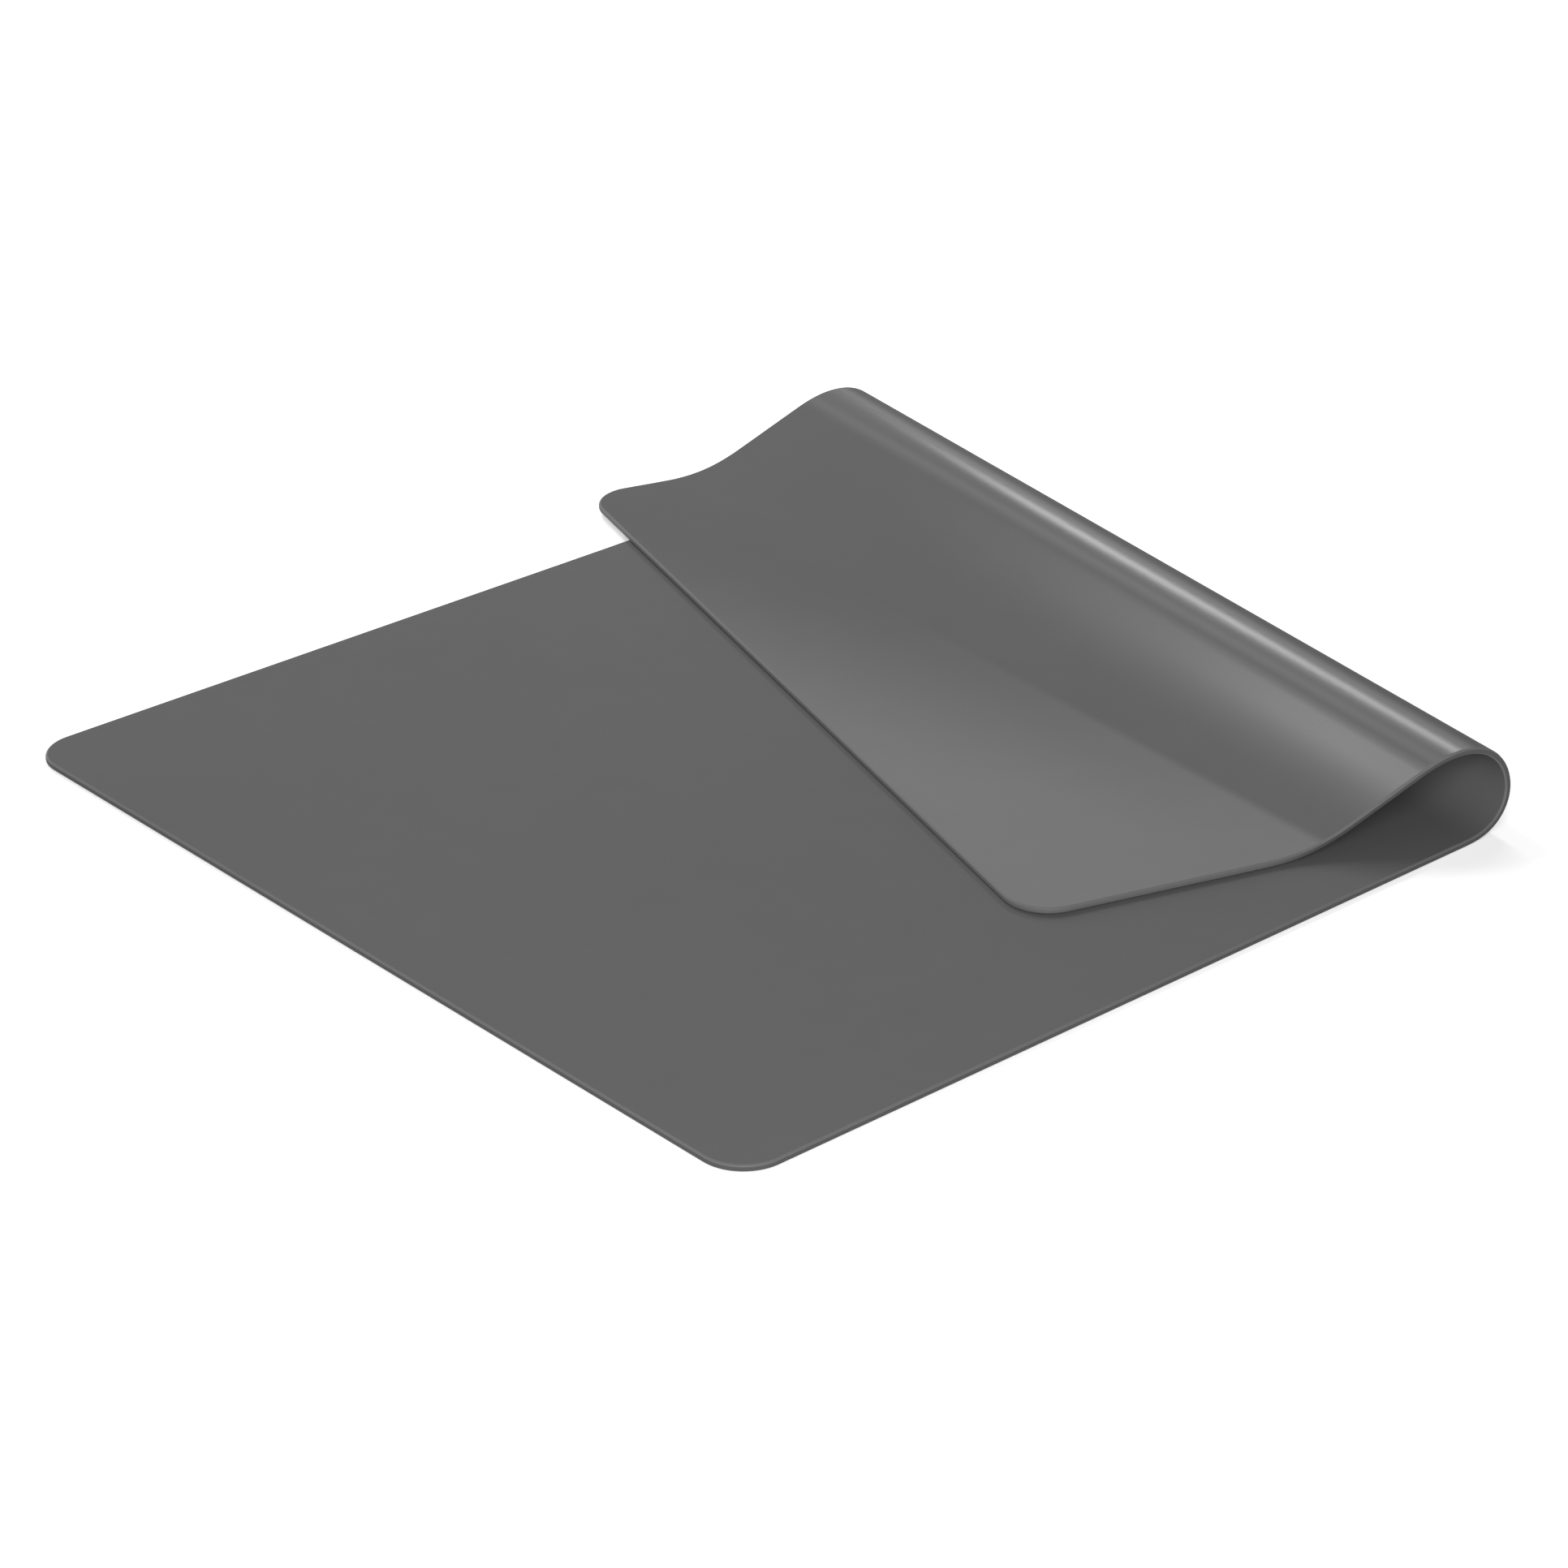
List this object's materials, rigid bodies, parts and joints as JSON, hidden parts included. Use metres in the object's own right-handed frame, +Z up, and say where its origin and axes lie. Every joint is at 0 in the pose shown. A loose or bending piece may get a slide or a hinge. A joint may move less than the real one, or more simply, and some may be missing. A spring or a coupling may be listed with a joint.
{
  "type": "silicone counter mat",
  "caption": "Thin rectangular silicone mat with rounded corners and rim, its end folded back over itself in a loop, that unfolds to lie flat on a counter.",
  "frame": {"origin": "centre of the unfolded mat, on the counter", "axes": "+X along the mat's length towards the folded end, +Y across its width, +Z up from the counter"},
  "size_m": [0.4267, 0.438, 0.0339],
  "materials": {
    "silicone": "satin, smooth moulded silicone, opaque dark grey"
  },
  "bodies": {
    "counter_panel": {"counter_panel": "silicone"},
    "loop_strip_01": {"loop_strip_01": "silicone"},
    "loop_strip_02": {"loop_strip_02": "silicone"},
    "loop_strip_03": {"loop_strip_03": "silicone"},
    "loop_strip_04": {"loop_strip_04": "silicone"},
    "loop_strip_05": {"loop_strip_05": "silicone"},
    "loop_strip_06": {"loop_strip_06": "silicone"},
    "loop_strip_07": {"loop_strip_07": "silicone"},
    "loop_strip_08": {"loop_strip_08": "silicone"},
    "loop_strip_09": {"loop_strip_09": "silicone"},
    "loop_strip_10": {"loop_strip_10": "silicone"},
    "loop_strip_11": {"loop_strip_11": "silicone"},
    "loop_strip_12": {"loop_strip_12": "silicone"},
    "loop_strip_13": {"loop_strip_13": "silicone"},
    "loop_strip_14": {"loop_strip_14": "silicone"},
    "loop_strip_15": {"loop_strip_15": "silicone"},
    "loop_strip_16": {"loop_strip_16": "silicone"},
    "fall_strip": {"fall_strip": "silicone"},
    "landing_strip_01": {"landing_strip_01": "silicone"},
    "landing_strip_02": {"landing_strip_02": "silicone"},
    "landing_strip_03": {"landing_strip_03": "silicone"},
    "flap_panel": {"flap_panel": "silicone"}
  },
  "joints": [
    {"name": "unfold", "type": "hinge", "parent": "counter_panel", "child": "loop_strip_01", "pos_m": [0.0791, -0.01196, 0.00125], "axis": [0.1495, 0.9888, 0], "range_deg": [0, 4.5]},
    {"name": "bend_line_02", "type": "hinge", "parent": "loop_strip_01", "child": "loop_strip_02", "pos_m": [0.08948, -0.01353, 0.00208], "axis": [0.1495, 0.9888, 0], "range_deg": [0, 14.81]},
    {"name": "bend_line_03", "type": "hinge", "parent": "loop_strip_02", "child": "loop_strip_03", "pos_m": [0.094, -0.01422, 0.00368], "axis": [0.1495, 0.9888, 0], "range_deg": [0, 13.22]},
    {"name": "bend_line_04", "type": "hinge", "parent": "loop_strip_03", "child": "loop_strip_04", "pos_m": [0.09732, -0.01472, 0.00581], "axis": [0.1495, 0.9888, 0], "range_deg": [0, 13.14]},
    {"name": "bend_line_05", "type": "hinge", "parent": "loop_strip_04", "child": "loop_strip_05", "pos_m": [0.09979, -0.01509, 0.00837], "axis": [0.1495, 0.9888, 0], "range_deg": [0, 13.11]},
    {"name": "bend_line_06", "type": "hinge", "parent": "loop_strip_05", "child": "loop_strip_06", "pos_m": [0.10153, -0.01535, 0.01126], "axis": [0.1495, 0.9888, 0], "range_deg": [0, 13.1]},
    {"name": "bend_line_07", "type": "hinge", "parent": "loop_strip_06", "child": "loop_strip_07", "pos_m": [0.10254, -0.01551, 0.01438], "axis": [0.1495, 0.9888, 0], "range_deg": [0, 13.1]},
    {"name": "bend_line_08", "type": "hinge", "parent": "loop_strip_07", "child": "loop_strip_08", "pos_m": [0.10282, -0.01555, 0.01764], "axis": [0.1495, 0.9888, 0], "range_deg": [0, 13.1]},
    {"name": "bend_line_09", "type": "hinge", "parent": "loop_strip_08", "child": "loop_strip_09", "pos_m": [0.10236, -0.01548, 0.02096], "axis": [0.1495, 0.9888, 0], "range_deg": [0, 13.11]},
    {"name": "bend_line_10", "type": "hinge", "parent": "loop_strip_09", "child": "loop_strip_10", "pos_m": [0.10111, -0.01529, 0.02424], "axis": [0.1495, 0.9888, 0], "range_deg": [0, 12.93]},
    {"name": "bend_line_11", "type": "hinge", "parent": "loop_strip_10", "child": "loop_strip_11", "pos_m": [0.09914, -0.01499, 0.02719], "axis": [0.1495, 0.9888, 0], "range_deg": [0, 13.14]},
    {"name": "bend_line_12", "type": "hinge", "parent": "loop_strip_11", "child": "loop_strip_12", "pos_m": [0.09665, -0.01462, 0.02953], "axis": [0.1495, 0.9888, 0], "range_deg": [0, 13.14]},
    {"name": "bend_line_13", "type": "hinge", "parent": "loop_strip_12", "child": "loop_strip_13", "pos_m": [0.09362, -0.01416, 0.03128], "axis": [0.1495, 0.9888, 0], "range_deg": [0, 13.17]},
    {"name": "bend_line_14", "type": "hinge", "parent": "loop_strip_13", "child": "loop_strip_14", "pos_m": [0.08993, -0.0136, 0.03239], "axis": [0.1495, 0.9888, 0], "range_deg": [0, 13.34]},
    {"name": "bend_line_15", "type": "hinge", "parent": "loop_strip_14", "child": "loop_strip_15", "pos_m": [0.08498, -0.01285, 0.03267], "axis": [0.1495, 0.9888, 0], "range_deg": [0, 12.79]},
    {"name": "bend_line_16", "type": "hinge", "parent": "loop_strip_15", "child": "loop_strip_16", "pos_m": [0.07788, -0.01178, 0.03146], "axis": [0.1495, 0.9888, 0], "range_deg": [0, 14.79]},
    {"name": "bend_line_17", "type": "hinge", "parent": "loop_strip_16", "child": "fall_strip", "pos_m": [0.06567, -0.00993, 0.02588], "axis": [0.1495, 0.9888, 0], "range_deg": [0, 4.68]},
    {"name": "bend_line_18", "type": "hinge", "parent": "fall_strip", "child": "landing_strip_01", "pos_m": [0.04611, -0.00697, 0.01491], "axis": [0.1495, 0.9888, 0], "range_deg": [-3.51, 0]},
    {"name": "bend_line_19", "type": "hinge", "parent": "landing_strip_01", "child": "landing_strip_02", "pos_m": [0.03091, -0.00467, 0.00758], "axis": [0.1495, 0.9888, 0], "range_deg": [-11.01, 0]},
    {"name": "bend_line_20", "type": "hinge", "parent": "landing_strip_02", "child": "landing_strip_03", "pos_m": [0.02139, -0.00323, 0.00509], "axis": [0.1495, 0.9888, 0], "range_deg": [-11.01, 0]},
    {"name": "bend_line_21", "type": "hinge", "parent": "landing_strip_03", "child": "flap_panel", "pos_m": [0.00458, -0.00069, 0.00405], "axis": [0.1495, 0.9888, 0], "range_deg": [-3.51, 0]}
  ],
  "couplings": [
    {"joint": "bend_line_02", "follows": "unfold", "ratio": 3.2899},
    {"joint": "bend_line_03", "follows": "unfold", "ratio": 2.9365},
    {"joint": "bend_line_04", "follows": "unfold", "ratio": 2.9179},
    {"joint": "bend_line_05", "follows": "unfold", "ratio": 2.9124},
    {"joint": "bend_line_06", "follows": "unfold", "ratio": 2.9102},
    {"joint": "bend_line_07", "follows": "unfold", "ratio": 2.9095},
    {"joint": "bend_line_08", "follows": "unfold", "ratio": 2.9099},
    {"joint": "bend_line_09", "follows": "unfold", "ratio": 2.9116},
    {"joint": "bend_line_10", "follows": "unfold", "ratio": 2.8721},
    {"joint": "bend_line_11", "follows": "unfold", "ratio": 2.9182},
    {"joint": "bend_line_12", "follows": "unfold", "ratio": 2.9183},
    {"joint": "bend_line_13", "follows": "unfold", "ratio": 2.9255},
    {"joint": "bend_line_14", "follows": "unfold", "ratio": 2.9643},
    {"joint": "bend_line_15", "follows": "unfold", "ratio": 2.84},
    {"joint": "bend_line_16", "follows": "unfold", "ratio": 3.2849},
    {"joint": "bend_line_17", "follows": "unfold", "ratio": 1.0385},
    {"joint": "bend_line_18", "follows": "unfold", "ratio": -0.77855},
    {"joint": "bend_line_19", "follows": "unfold", "ratio": -2.4447},
    {"joint": "bend_line_20", "follows": "unfold", "ratio": -2.4447},
    {"joint": "bend_line_21", "follows": "unfold", "ratio": -0.77855}
  ]
}
